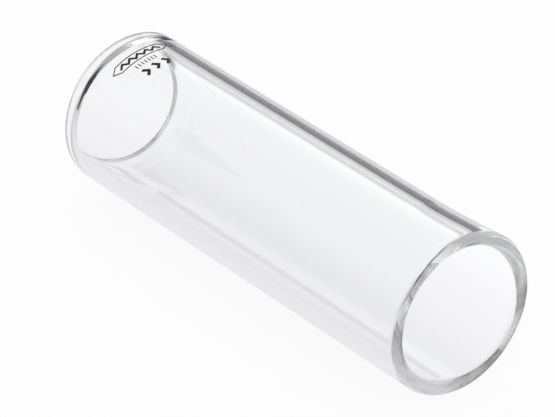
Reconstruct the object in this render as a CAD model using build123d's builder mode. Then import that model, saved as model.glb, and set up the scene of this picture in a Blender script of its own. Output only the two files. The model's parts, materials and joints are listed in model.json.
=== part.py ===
from build123d import *
import math
import os

# Guitar slide: one length of clear glass tube, open at both ends, with a small fired enamel marking.
# The tube lies along X, with its marked end at -X and its slightly belled mouth at +X.
# The origin is on the bore's axis at mid-length, and +Z is up. Every size is in millimetres.

# The tube
LENGTH = 69.0
OUTER_RADIUS = 11.0
BORE_RADIUS = 9.0
MOUTH_FLARE = 0.3  # how far the wall leans out at the mouth
FLARE_START = 12.0  # from the mouth's rim to where the wall begins to lean out
MOUTH_OUTER_ROUND = 0.8  # radius of the rim's outer edge at the mouth
MOUTH_INNER_ROUND = 0.5
FUNNEL_RADIUS = 1.4  # the bore opens into the mouth along an arc of this radius
FUNNEL_TURN = 60.0  # degrees that this arc turns before it meets the rim's inner edge
BEAD = 0.45  # how far the melted glass stands into the bore at the marked end
BEAD_START = 2.4  # from the marked rim to where the bore begins to narrow
BEAD_END = 0.6  # from the marked rim to where it runs straight again
MARKED_OUTER_ROUND = 1.2  # radius of the marked rim's outer edge
MARKED_INNER_ROUND = 0.5

# The enamel marking
ENAMEL = 0.05  # thickness of the fired layer
MARK_ANGLE = 11.0  # degrees round from the top of the tube, towards -Y
BADGE_FROM_RIM = 5.7  # from the marked end's rim to the middle of each row
TICKS_FROM_RIM = 7.6
CHEVRONS_FROM_RIM = 9.5

BADGE_LENGTH = 9.2
BADGE_HEIGHT = 1.8
BADGE_POINT = 1.1  # length of the pointed tip at each end
BADGE_LINE = 0.14

ZIGZAG_LEGS = 10
ZIGZAG_PITCH = 0.66
ZIGZAG_HEIGHT = 0.68
ZIGZAG_LINE = 0.34

TICK_COUNT = 7
TICK_PITCH = 0.52
TICK_WIDTH = 0.12
TICK_HEIGHT = 0.75
TICK_SHIFT = -0.25  # the row stands a little left of the badge's middle

CHEVRON_COUNT = 3
CHEVRON_PITCH = 1.65
CHEVRON_REACH = 0.62
CHEVRON_HEIGHT = 1.55
CHEVRON_LINE = 0.46
CHEVRON_SHIFT = 0.15

# Worked out from the sizes above
half = LENGTH / 2
marked_bore = BORE_RADIUS - BEAD
marked_outer_x = MARKED_OUTER_ROUND - half
marked_inner_x = MARKED_INNER_ROUND - half
mouth_outer = OUTER_RADIUS + MOUTH_FLARE
mouth_bore = BORE_RADIUS + MOUTH_FLARE
funnel_sine = math.sin(math.radians(FUNNEL_TURN))
funnel_x = half - FUNNEL_RADIUS * funnel_sine - MOUTH_INNER_ROUND * (1 - funnel_sine)
flare_start_x = half - FLARE_START
along = (1, 0)
back_along = (-1, 0)


def mark_plane(from_rim):
    """A plane through the tube's axis, facing out through the marking, with its Y towards the marked end."""
    turn = math.radians(MARK_ANGLE)
    return Plane(
        origin=(from_rim - half, 0, 0),
        x_dir=(0, math.cos(turn), math.sin(turn)),
        z_dir=(0, -math.sin(turn), math.cos(turn)),
    )


def zigzag_points():
    """The corners of the zigzag, from left to right about the badge's middle."""
    start = -ZIGZAG_LEGS * ZIGZAG_PITCH / 2
    points = []
    for corner in range(ZIGZAG_LEGS + 1):
        side = 1 if corner % 2 else -1
        points.append((start + corner * ZIGZAG_PITCH, side * ZIGZAG_HEIGHT / 2))
    return points


# Glass tube: the section of its wall is turned round the X axis. The mouth is a thin rim with two rounded
# edges, where the bore opens out. The marked rim is thicker, and stands a little into the bore.
with BuildPart() as glass_tube:
    with BuildSketch(Plane.XZ):
        with BuildLine():
            barrel = Line((marked_outer_x, OUTER_RADIUS), (flare_start_x, OUTER_RADIUS))
            outer_bell = Spline(barrel @ 1, (funnel_x, mouth_outer), tangents=(along, along))
            outer_land = Line(outer_bell @ 1, (half - MOUTH_OUTER_ROUND, mouth_outer))
            outer_edge = JernArc(outer_land @ 1, along, MOUTH_OUTER_ROUND, -90)
            funnel = JernArc((funnel_x, mouth_bore), along, FUNNEL_RADIUS, FUNNEL_TURN)
            inner_edge = JernArc(funnel @ 1, funnel % 1, MOUTH_INNER_ROUND, 90 - FUNNEL_TURN)
            Line(outer_edge @ 1, inner_edge @ 1)
            inner_bell = Spline((flare_start_x, BORE_RADIUS), funnel @ 0, tangents=(along, along))
            bore = Line(inner_bell @ 0, (BEAD_START - half, BORE_RADIUS))
            bead = Spline(bore @ 1, (BEAD_END - half, marked_bore), tangents=(back_along, back_along))
            bead_land = Line(bead @ 1, (marked_inner_x, marked_bore))
            marked_inner_edge = JernArc(bead_land @ 1, back_along, MARKED_INNER_ROUND, -90)
            marked_outer_edge = JernArc(barrel @ 0, back_along, MARKED_OUTER_ROUND, 90)
            Line(marked_inner_edge @ 1, marked_outer_edge @ 1)
        make_face()
    revolve(axis=Axis.X)
glass_tube.part.label = "glass_tube"

# Skin of the tube, as thick as the enamel. Each marking is the part of this skin behind its outline.
with BuildPart() as enamel_skin:
    Cylinder(OUTER_RADIUS + ENAMEL, LENGTH, rotation=(0, 90, 0))
    Cylinder(OUTER_RADIUS, LENGTH, rotation=(0, 90, 0), mode=Mode.SUBTRACT)

# Badge outline: a long thin hexagon, drawn as a fine line
with BuildPart() as print_frame:
    with BuildSketch(mark_plane(BADGE_FROM_RIM)):
        with BuildLine():
            tip_x = BADGE_LENGTH / 2
            shoulder_x = tip_x - BADGE_POINT
            top_y = BADGE_HEIGHT / 2
            Polyline(
                (-tip_x, 0),
                (-shoulder_x, top_y),
                (shoulder_x, top_y),
                (tip_x, 0),
                (shoulder_x, -top_y),
                (-shoulder_x, -top_y),
                close=True,
            )
        make_face()
        offset(amount=-BADGE_LINE, mode=Mode.SUBTRACT)
    extrude(amount=OUTER_RADIUS + 1)
    add(enamel_skin.part, mode=Mode.INTERSECT)
print_frame.part.label = "print_frame"

# Bold zigzag inside the badge
with BuildPart() as print_zigzag:
    with BuildSketch(mark_plane(BADGE_FROM_RIM)):
        with BuildLine():
            Polyline(*zigzag_points())
        trace(line_width=ZIGZAG_LINE)
    extrude(amount=OUTER_RADIUS + 1)
    add(enamel_skin.part, mode=Mode.INTERSECT)
print_zigzag.part.label = "print_zigzag"

# Row of thin ticks below the badge
with BuildPart() as print_ticks:
    with BuildSketch(mark_plane(TICKS_FROM_RIM)):
        with Locations((TICK_SHIFT, 0)):
            with GridLocations(TICK_PITCH, TICK_HEIGHT, TICK_COUNT, 1):
                Rectangle(TICK_WIDTH, TICK_HEIGHT)
    extrude(amount=OUTER_RADIUS + 1)
    add(enamel_skin.part, mode=Mode.INTERSECT)
print_ticks.part.label = "print_ticks"

# Row of bold chevrons below the ticks
with BuildPart() as print_chevrons:
    with BuildSketch(mark_plane(CHEVRONS_FROM_RIM)):
        for place in range(CHEVRON_COUNT):
            middle = CHEVRON_SHIFT + (place - (CHEVRON_COUNT - 1) / 2) * CHEVRON_PITCH
            back = middle - CHEVRON_REACH / 2
            front = middle + CHEVRON_REACH / 2
            with BuildLine():
                Polyline((back, -CHEVRON_HEIGHT / 2), (front, 0), (back, CHEVRON_HEIGHT / 2))
            trace(line_width=CHEVRON_LINE)
    extrude(amount=OUTER_RADIUS + 1)
    add(enamel_skin.part, mode=Mode.INTERSECT)
print_chevrons.part.label = "print_chevrons"

os.makedirs("parts", exist_ok=True)
export_step(glass_tube.part, "parts/glass_tube.step")
export_step(print_frame.part, "parts/print_frame.step")
export_step(print_zigzag.part, "parts/print_zigzag.step")
export_step(print_ticks.part, "parts/print_ticks.step")
export_step(print_chevrons.part, "parts/print_chevrons.step")
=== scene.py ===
import json
import math

import bpy
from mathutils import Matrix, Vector


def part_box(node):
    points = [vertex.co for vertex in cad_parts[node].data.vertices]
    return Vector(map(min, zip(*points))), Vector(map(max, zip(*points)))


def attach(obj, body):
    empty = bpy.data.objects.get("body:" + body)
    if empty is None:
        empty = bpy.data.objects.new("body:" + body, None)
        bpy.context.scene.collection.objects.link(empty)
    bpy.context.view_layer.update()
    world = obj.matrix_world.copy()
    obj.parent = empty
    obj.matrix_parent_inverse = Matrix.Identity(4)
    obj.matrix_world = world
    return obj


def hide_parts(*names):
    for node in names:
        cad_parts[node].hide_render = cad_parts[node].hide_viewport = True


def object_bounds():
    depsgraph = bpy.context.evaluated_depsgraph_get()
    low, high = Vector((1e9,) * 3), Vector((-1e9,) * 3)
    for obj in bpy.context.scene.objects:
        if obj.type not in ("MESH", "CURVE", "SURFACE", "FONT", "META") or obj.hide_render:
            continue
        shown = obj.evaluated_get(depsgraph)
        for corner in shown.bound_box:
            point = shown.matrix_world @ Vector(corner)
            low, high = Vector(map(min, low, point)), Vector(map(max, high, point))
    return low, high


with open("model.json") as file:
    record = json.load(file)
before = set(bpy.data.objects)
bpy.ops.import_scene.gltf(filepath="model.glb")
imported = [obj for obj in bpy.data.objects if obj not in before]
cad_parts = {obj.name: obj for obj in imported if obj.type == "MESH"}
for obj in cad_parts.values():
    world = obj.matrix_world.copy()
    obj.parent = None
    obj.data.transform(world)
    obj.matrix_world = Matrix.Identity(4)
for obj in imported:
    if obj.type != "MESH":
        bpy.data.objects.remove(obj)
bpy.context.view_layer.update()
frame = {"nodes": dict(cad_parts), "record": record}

MM = 0.001
mounts = {mount["name"]: mount for mount in frame["record"]["mounts"]}
tube_low, tube_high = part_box("glass_tube")

# The glass tube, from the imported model. It lies along X, with its marked end at -X and its belled
# mouth at +X.
HALF = tube_high.x
OUTER = mounts["barrel"]["dims"]["r_mm"] * MM
BORE = mounts["finger_bore"]["dims"]["r_mm"] * MM
FLARE = tube_high.z - OUTER
FLARE_START = HALF - 12.0 * MM
FLARE_LEAN = math.radians(-43)  # the bell stands out most here, measured from +Z towards -Y
FLARE_MEAN = 0.55  # share of the bell that every side has
FLARE_SWING = 0.45  # share that comes and goes round the axis
MOUTH_OUTER_ROUND = 0.8 * MM  # radius of the rim's outer edge at the mouth
MOUTH_INNER_ROUND = 0.5 * MM
FUNNEL_RADIUS = 1.4 * MM  # the bore opens into the mouth along an arc of this radius
FUNNEL_TURN = math.radians(60)
FUNNEL_DEPTH = FUNNEL_RADIUS * math.sin(FUNNEL_TURN) + MOUTH_INNER_ROUND * (1 - math.sin(FUNNEL_TURN))
FUNNEL_START = HALF - FUNNEL_DEPTH
BEAD = 0.45 * MM  # how far the melted glass stands into the bore at the marked end
BEAD_START = 2.4 * MM - HALF
BEAD_END = 0.6 * MM - HALF
MARKED_OUTER_ROUND = 1.2 * MM
MARKED_INNER_ROUND = 0.5 * MM

# How finely the tube is divided: round the axis, and along each stretch of the wall
ROUND_STEPS = 288
LIP_STEPS = 12
FUNNEL_STEPS = 12
BELL_STEPS = 22
BARREL_STEPS = 32
BEAD_STEPS = 16

# Glass: clean, and where it has been handled. Every scale below counts a noise's repeats in a metre.
GLASS_IOR = 1.473
GLASS_BODY = (0.25, 0.30, 0.10)  # what is left of white light after a long way inside the wall
GLASS_BODY_DENSITY = 0.8
CLEAN_COLOUR = (1.0, 1.0, 1.0)
CLEAN_ROUGHNESS = 0.0
HANDLED_COLOUR = (0.985, 0.99, 0.985)
HANDLED_ROUGHNESS = 0.03
HANDLED_FROM = 0.45  # the noise's value where the handled patches begin
HANDLED_FULL = 0.75
HANDLED_SCALE = 140.0
DRAW_LINE_SCALE = 700.0
DRAW_LINE_STRETCH = 0.08
DRAW_LINE_BUMP = 0.02

# Enamel
GRAIN_DARK = (0.006, 0.006, 0.008)
GRAIN_LIGHT = (0.022, 0.022, 0.026)
GRAIN_SCALE = 6000.0
GRAIN_BUMP = 0.3
PATCH_SCALE = 1200.0
PATCH_FROM = 0.3
PATCH_FULL = 0.7
GLOSSY_ROUGHNESS = 0.28
DULL_ROUGHNESS = 0.48

UNSTRETCHED = 1.0
NOISE_DETAIL = 4.0
BUMP_DEPTH = 0.01 * MM

# The stage. What the glass reflects and bends is a dim tent with one soft light behind the tube,
# while the camera and the enamel see a plain white studio.
STUDIO_WHITE = (1.15, 1.15, 1.15)
# Tone of the tent by the angle round the tube's axis, in degrees from the back over the top to the front
TENT = {
    0: (0.62, 0.62, 0.64),
    30: (0.60, 0.60, 0.61),
    75: (0.42, 0.42, 0.44),
    120: (0.55, 0.55, 0.57),
    150: (0.66, 0.65, 0.68),
    180: (0.56, 0.55, 0.59),
}
SOFTBOX = (1.15, 1.15, 1.16)
SOFTBOX_AZIMUTH = math.radians(129)
SOFTBOX_ELEVATION = math.radians(24)
SOFTBOX_CORE = math.radians(8)  # the softbox is even up to this angle from its middle
SOFTBOX_EDGE = math.radians(20)  # and gone at this one
# Painted shade on the floor that only the glass sees, by the distance behind the tube's axis, in
# millimetres: a painted shadow under the tube, painted darkening towards the front, and a painted dark band
# about 72 to 90 mm behind
PAINTED_FLOOR_SHADE = {
    -200: (0.40, 0.39, 0.44),
    -60: (0.57, 0.56, 0.62),
    -20: (0.66, 0.65, 0.71),
    0: (0.86, 0.86, 0.88),
    35: (0.94, 0.94, 0.95),
    60: (0.88, 0.88, 0.90),
    72: (0.40, 0.40, 0.44),
    90: (0.15, 0.14, 0.20),
    150: (0.80, 0.80, 0.82),
}
FLOOR_SIZE = 40.0
FLOOR_GLOW = (0.92, 0.92, 0.92)
FLOOR_ALBEDO = (0.06, 0.06, 0.06)
FLOOR_ROUGHNESS = 0.9

# Two dark flags stand on the floor: one behind the tube, and one past its marked end
FLAG_TONE = (0.015, 0.014, 0.03)
FLAG_FADE = 10 * MM  # a flag's top edge fades out over this height
BACK_FLAG_REACH = 46 * MM
BACK_FLAG_MIDDLE = (-92 * MM, 98 * MM)
BACK_FLAG_TOP = 20 * MM
END_FLAG_REACH = 60 * MM
END_FLAG_MIDDLE = (-100 * MM, 0)
END_FLAG_TOP = 60 * MM

# The camera looks past the tube's middle. AIM_RIGHT and AIM_UP say how far to the right and above it.
AZIMUTH = math.radians(51.2)
ELEVATION = math.radians(30.7)
DISTANCE = 0.5194
LENS = 260.0
SENSOR_WIDTH = 36.0
AIM_RIGHT = -1.253 * MM
AIM_UP = -0.303 * MM
NEAREST = 10 * MM
LIGHT_BOUNCES = 96  # light goes back and forth many times inside the wall of the glass


# The tube's shape

def smooth_step(value):
    """0 below 0, 1 above 1, and a smooth rise between."""
    t = min(1.0, max(0.0, value))
    return t * t * (3 - 2 * t)


def bell(x, angle):
    """How far the wall leans out at x, on the line that stands at this angle from +Z."""
    rise = smooth_step((x - FLARE_START) / (FUNNEL_START - FLARE_START))
    return FLARE * rise * (FLARE_MEAN + FLARE_SWING * math.cos(angle - FLARE_LEAN))


def bore_radius(x):
    """The bore before the bell is added: it narrows where the glass has melted in at the marked rim."""
    return BORE - BEAD * smooth_step((BEAD_START - x) / (BEAD_START - BEAD_END))


def stretch(start, end, steps):
    """Evenly spaced places from start up to, but not including, end."""
    return [start + (end - start) * step / steps for step in range(steps)]


def edge_arc(x, r, size, start, end, steps):
    """Points of an arc of radius size about (x, r), by the angle from outward towards +X."""
    points = []
    for angle in stretch(start, end, steps):
        points.append((x + size * math.sin(angle), r + size * math.cos(angle)))
    return points


def wall_section():
    """The closed outline of the wall as (x, radius) before the bell is added, once round."""
    right, down, left = math.pi / 2, math.pi, 1.5 * math.pi
    funnel_end = down - FUNNEL_TURN
    outer_x = HALF - MOUTH_OUTER_ROUND
    outer_r = OUTER - MOUTH_OUTER_ROUND
    throat_r = BORE + FUNNEL_RADIUS
    inner_x = HALF - MOUTH_INNER_ROUND
    inner_r = throat_r - (FUNNEL_RADIUS - MOUTH_INNER_ROUND) * math.cos(FUNNEL_TURN)
    marked_outer_x = MARKED_OUTER_ROUND - HALF
    marked_outer_r = OUTER - MARKED_OUTER_ROUND
    marked_inner_x = MARKED_INNER_ROUND - HALF
    marked_inner_r = BORE - BEAD + MARKED_INNER_ROUND
    barrel = stretch(marked_outer_x, FLARE_START, BARREL_STEPS) + stretch(FLARE_START, outer_x, BELL_STEPS)
    bore = stretch(FUNNEL_START, FLARE_START, BELL_STEPS) + stretch(FLARE_START, BEAD_START, BARREL_STEPS)
    bore += stretch(BEAD_START, BEAD_END, BEAD_STEPS) + [BEAD_END]
    points = [(x, OUTER) for x in barrel]
    points += edge_arc(outer_x, outer_r, MOUTH_OUTER_ROUND, 0, right, LIP_STEPS)
    points += edge_arc(inner_x, inner_r, MOUTH_INNER_ROUND, right, funnel_end, LIP_STEPS)
    points += edge_arc(FUNNEL_START, throat_r, FUNNEL_RADIUS, funnel_end, down, FUNNEL_STEPS)
    points += [(x, bore_radius(x)) for x in bore]
    points += edge_arc(marked_inner_x, marked_inner_r, MARKED_INNER_ROUND, down, left, LIP_STEPS)
    points += edge_arc(marked_outer_x, marked_outer_r, MARKED_OUTER_ROUND, left, math.tau, LIP_STEPS)
    return points


def make_tube():
    """The whole tube as one closed mesh, turned from its wall section."""
    section = wall_section()
    count = len(section)
    verts = []
    for turn in range(ROUND_STEPS):
        angle = math.tau * turn / ROUND_STEPS
        for x, radius in section:
            r = radius + bell(x, angle)
            verts.append((x, -r * math.sin(angle), r * math.cos(angle)))
    faces = []
    for turn in range(ROUND_STEPS):
        here = turn * count
        there = (turn + 1) % ROUND_STEPS * count
        for point in range(count):
            after = (point + 1) % count
            faces.append((here + point, there + point, there + after, here + after))
    mesh = bpy.data.meshes.new("clear_tube")
    mesh.from_pydata(verts, [], faces)
    mesh.shade_smooth()
    item = bpy.data.objects.new("clear_tube", mesh)
    bpy.context.collection.objects.link(item)
    return item


# Materials

class Graph:
    """Short ways to add nodes to one node tree."""

    def __init__(self, tree):
        self.tree = tree

    def add(self, kind, **settings):
        """A new node, with its settings."""
        node = self.tree.nodes.new(kind)
        for name, value in settings.items():
            setattr(node, name, value)
        return node

    def feed(self, socket, value):
        """Link another node's output to the socket, or set the socket to a plain value."""
        if isinstance(value, bpy.types.NodeSocket):
            self.tree.links.new(value, socket)
        else:
            socket.default_value = value

    def math(self, operation, a, b=0.0):
        """One step of arithmetic."""
        node = self.add("ShaderNodeMath", operation=operation)
        self.feed(node.inputs[0], a)
        self.feed(node.inputs[1], b)
        return node.outputs["Value"]

    def split(self, vector):
        """The X, Y and Z of a vector, by name."""
        node = self.add("ShaderNodeSeparateXYZ")
        self.feed(node.inputs[0], vector)
        return node.outputs

    def position(self):
        """The X, Y and Z of the point in the frame."""
        return self.split(self.add("ShaderNodeNewGeometry").outputs["Position"])

    def ramp(self, value, start, end, low=0.0, high=1.0):
        """A smooth change from low to high while value goes from start to end."""
        node = self.add("ShaderNodeMapRange", interpolation_type="SMOOTHSTEP", clamp=True)
        for socket, number in zip(node.inputs, (value, start, end, low, high)):
            self.feed(socket, number)
        return node.outputs["Result"]

    def blend(self, factor, a, b):
        """Colour a where factor is 0 and colour b where it is 1."""
        node = self.add("ShaderNodeMix", data_type="RGBA", blend_type="MIX")
        self.feed(node.inputs["Factor"], factor)
        for name, value in (("A", a), ("B", b)):
            socket = [item for item in node.inputs if item.name == name and item.type == "RGBA"][0]
            self.feed(socket, (*value, 1) if isinstance(value, tuple) else value)
        return [item for item in node.outputs if item.type == "RGBA"][0]

    def tones(self, value, table):
        """Colours that change evenly between the values that table gives."""
        marks = sorted(table)
        first, last = marks[0], marks[-1]
        node = self.add("ShaderNodeValToRGB")
        stops = node.color_ramp.elements
        while len(stops) < len(marks):
            stops.new(0.5)
        for stop, mark in zip(stops, marks):
            stop.position = (mark - first) / (last - first)
            stop.color = (*table[mark], 1)
        share = self.add("ShaderNodeMapRange", clamp=True)
        for socket, number in zip(share.inputs, (value, first, last, 0.0, 1.0)):
            self.feed(socket, number)
        self.feed(node.inputs["Fac"], share.outputs["Result"])
        return node.outputs["Color"]

    def seen_by_glass(self):
        """1 for light that the glass reflects or bends, and 0 for the rest."""
        ray = self.add("ShaderNodeLightPath")
        return self.math("MAXIMUM", ray.outputs["Is Glossy Ray"], ray.outputs["Is Transmission Ray"])

    def noise(self, along_x, scale):
        """Noise in the object's own space, drawn out along the tube where along_x is below 1."""
        mapping = self.add("ShaderNodeMapping")
        self.feed(mapping.inputs["Vector"], self.add("ShaderNodeTexCoord").outputs["Object"])
        mapping.inputs["Scale"].default_value = (along_x, 1, 1)
        node = self.add("ShaderNodeTexNoise")
        self.feed(node.inputs["Vector"], mapping.outputs["Vector"])
        node.inputs["Scale"].default_value = scale
        node.inputs["Detail"].default_value = NOISE_DETAIL
        return node.outputs["Fac"]

    def bump(self, shader, height, strength):
        """Let the height ripple the shader's surface."""
        node = self.add("ShaderNodeBump")
        node.inputs["Strength"].default_value = strength
        node.inputs["Distance"].default_value = BUMP_DEPTH
        self.feed(node.inputs["Height"], height)
        self.feed(shader.inputs["Normal"], node.outputs["Normal"])


def new_material(name):
    """A material, its node tree and its main shader."""
    material = bpy.data.materials.new(name)
    material.use_nodes = True
    return material, material.node_tree, material.node_tree.nodes["Principled BSDF"]


def glass_material():
    """Clear borosilicate glass with faint draw lines. Only long paths inside the wall turn grey."""
    material, tree, shader = new_material("clear_glass")
    graph = Graph(tree)
    shader.inputs["Transmission Weight"].default_value = 1.0
    shader.inputs["IOR"].default_value = GLASS_IOR
    draw_lines = graph.noise(DRAW_LINE_STRETCH, DRAW_LINE_SCALE)
    handling = graph.noise(UNSTRETCHED, HANDLED_SCALE)
    colour = graph.blend(handling, CLEAN_COLOUR, HANDLED_COLOUR)
    roughness = graph.ramp(handling, HANDLED_FROM, HANDLED_FULL, CLEAN_ROUGHNESS, HANDLED_ROUGHNESS)
    graph.feed(shader.inputs["Base Color"], colour)
    graph.feed(shader.inputs["Roughness"], roughness)
    graph.bump(shader, draw_lines, DRAW_LINE_BUMP)
    body = graph.add("ShaderNodeVolumeAbsorption")
    body.inputs["Color"].default_value = (*GLASS_BODY, 1)
    body.inputs["Density"].default_value = GLASS_BODY_DENSITY
    graph.feed(tree.nodes["Material Output"].inputs["Volume"], body.outputs["Volume"])
    return material


def enamel_material():
    """Black fired enamel: nearly even, with a fine grain and a slightly patchy gloss."""
    material, tree, shader = new_material("black_enamel")
    graph = Graph(tree)
    grain = graph.noise(UNSTRETCHED, GRAIN_SCALE)
    patches = graph.noise(UNSTRETCHED, PATCH_SCALE)
    colour = graph.blend(grain, GRAIN_DARK, GRAIN_LIGHT)
    roughness = graph.ramp(patches, PATCH_FROM, PATCH_FULL, GLOSSY_ROUGHNESS, DULL_ROUGHNESS)
    graph.feed(shader.inputs["Base Color"], colour)
    graph.feed(shader.inputs["Roughness"], roughness)
    graph.bump(shader, grain, GRAIN_BUMP)
    return material


# Stage

def direction(azimuth, elevation):
    """A unit vector, by its angle round from +X and its angle above the floor."""
    level = math.cos(elevation)
    return Vector((math.cos(azimuth) * level, math.sin(azimuth) * level, math.sin(elevation)))


def make_world():
    """The dim tent and its softbox for the glass, and a plain white studio for everything else."""
    world = bpy.data.worlds.new("studio")
    bpy.context.scene.world = world
    world.use_nodes = True
    graph = Graph(world.node_tree)
    background = world.node_tree.nodes["Background"]
    sky = graph.add("ShaderNodeTexCoord").outputs["Generated"]
    parts = graph.split(sky)
    turn = graph.math("ARCTAN2", graph.math("MAXIMUM", parts["Z"], 0.0), parts["Y"])
    tent = graph.tones(graph.math("DEGREES", turn), TENT)
    dot = graph.add("ShaderNodeVectorMath", operation="DOT_PRODUCT")
    graph.feed(dot.inputs[0], sky)
    dot.inputs[1].default_value = direction(SOFTBOX_AZIMUTH, SOFTBOX_ELEVATION)
    off_box = graph.math("ARCCOSINE", dot.outputs["Value"])
    glow = graph.ramp(off_box, SOFTBOX_CORE, SOFTBOX_EDGE, 1.0, 0.0)
    lit_tent = graph.blend(glow, tent, SOFTBOX)
    tone = graph.blend(graph.seen_by_glass(), STUDIO_WHITE, lit_tent)
    graph.feed(background.inputs["Color"], tone)
    background.inputs["Strength"].default_value = 1.0


def plane(name, size_x, size_y, middle, turn=(0, 0, 0)):
    """A flat piece of the stage."""
    mesh = bpy.data.meshes.new(name)
    x, y = size_x / 2, size_y / 2
    mesh.from_pydata([(-x, -y, 0), (x, -y, 0), (x, y, 0), (-x, y, 0)], [], [(0, 1, 2, 3)])
    item = bpy.data.objects.new(name, mesh)
    item.location = middle
    item.rotation_euler = turn
    bpy.context.collection.objects.link(item)
    return item


def make_floor(floor_z):
    """A pale floor: nearly white for the camera. For the glass it is toned by its distance behind the tube
    with painted shade: a painted shadow under the tube and a painted dark band behind it.
    """
    floor = plane("floor", FLOOR_SIZE, FLOOR_SIZE, (0, 0, floor_z))
    material, tree, shader = new_material("pale_floor_and_painted_shade")
    graph = Graph(tree)
    shader.inputs["Base Color"].default_value = (*FLOOR_ALBEDO, 1)
    shader.inputs["Roughness"].default_value = FLOOR_ROUGHNESS
    shader.inputs["Specular IOR Level"].default_value = 0.0
    shader.inputs["Emission Strength"].default_value = 1.0
    # Painted shade that only the glass sees: a painted shadow under the tube, darker floor in front and a
    # painted dark band behind
    painted_shade = graph.tones(graph.math("DIVIDE", graph.position()["Y"], MM), PAINTED_FLOOR_SHADE)
    tone = graph.blend(graph.seen_by_glass(), FLOOR_GLOW, painted_shade)
    graph.feed(shader.inputs["Emission Color"], tone)
    floor.data.materials.append(material)


def make_flag(name, floor_z, reach, middle, top, turn):
    """A dark strip that stands on the floor and that only the glass sees. Its top edge fades out."""
    height = top - floor_z
    item = plane(name, 2 * reach, height, (*middle, floor_z + height / 2), (math.pi / 2, 0, turn))
    material, tree, shader = new_material(name)
    tree.nodes.remove(shader)
    graph = Graph(tree)
    dark = graph.add("ShaderNodeEmission")
    dark.inputs["Color"].default_value = (*FLAG_TONE, 1)
    clear = graph.add("ShaderNodeBsdfTransparent")
    mix = graph.add("ShaderNodeMixShader")
    graph.feed(mix.inputs[0], graph.ramp(graph.position()["Z"], top - FLAG_FADE, top))
    graph.feed(mix.inputs[1], dark.outputs[0])
    graph.feed(mix.inputs[2], clear.outputs[0])
    graph.feed(tree.nodes["Material Output"].inputs["Surface"], mix.outputs[0])
    item.data.materials.append(material)
    item.visible_camera = False
    item.visible_diffuse = False
    item.visible_shadow = False


def make_camera():
    """The camera, at the angle that shows the mouth and the marking together."""
    back = direction(AZIMUTH - math.pi / 2, ELEVATION)
    right = direction(AZIMUTH, 0)
    up = back.cross(right)
    camera_data = bpy.data.cameras.new("camera")
    camera_data.lens = LENS
    camera_data.sensor_width = SENSOR_WIDTH
    camera_data.clip_start = NEAREST
    camera = bpy.data.objects.new("camera", camera_data)
    camera.location = right * AIM_RIGHT + up * AIM_UP + back * DISTANCE
    camera.rotation_euler = (math.pi / 2 - ELEVATION, 0, AZIMUTH)
    bpy.context.collection.objects.link(camera)
    bpy.context.scene.camera = camera


tube = make_tube()
tube.data.materials.append(glass_material())
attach(tube, "root")
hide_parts("glass_tube")

enamel = enamel_material()
for name, node in frame["nodes"].items():
    if name.startswith("print_"):
        node.data.materials.clear()
        node.data.materials.append(enamel)

stage_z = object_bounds()[0].z
make_world()
make_floor(stage_z)
make_flag("back_flag", stage_z, BACK_FLAG_REACH, BACK_FLAG_MIDDLE, BACK_FLAG_TOP, 0)
make_flag("marked_end_flag", stage_z, END_FLAG_REACH, END_FLAG_MIDDLE, END_FLAG_TOP, math.pi / 2)
make_camera()

bpy.context.scene.view_settings.view_transform = "Standard"
bpy.context.scene.cycles.max_bounces = LIGHT_BOUNCES
bpy.context.scene.cycles.transmission_bounces = LIGHT_BOUNCES
bpy.context.scene.cycles.glossy_bounces = LIGHT_BOUNCES
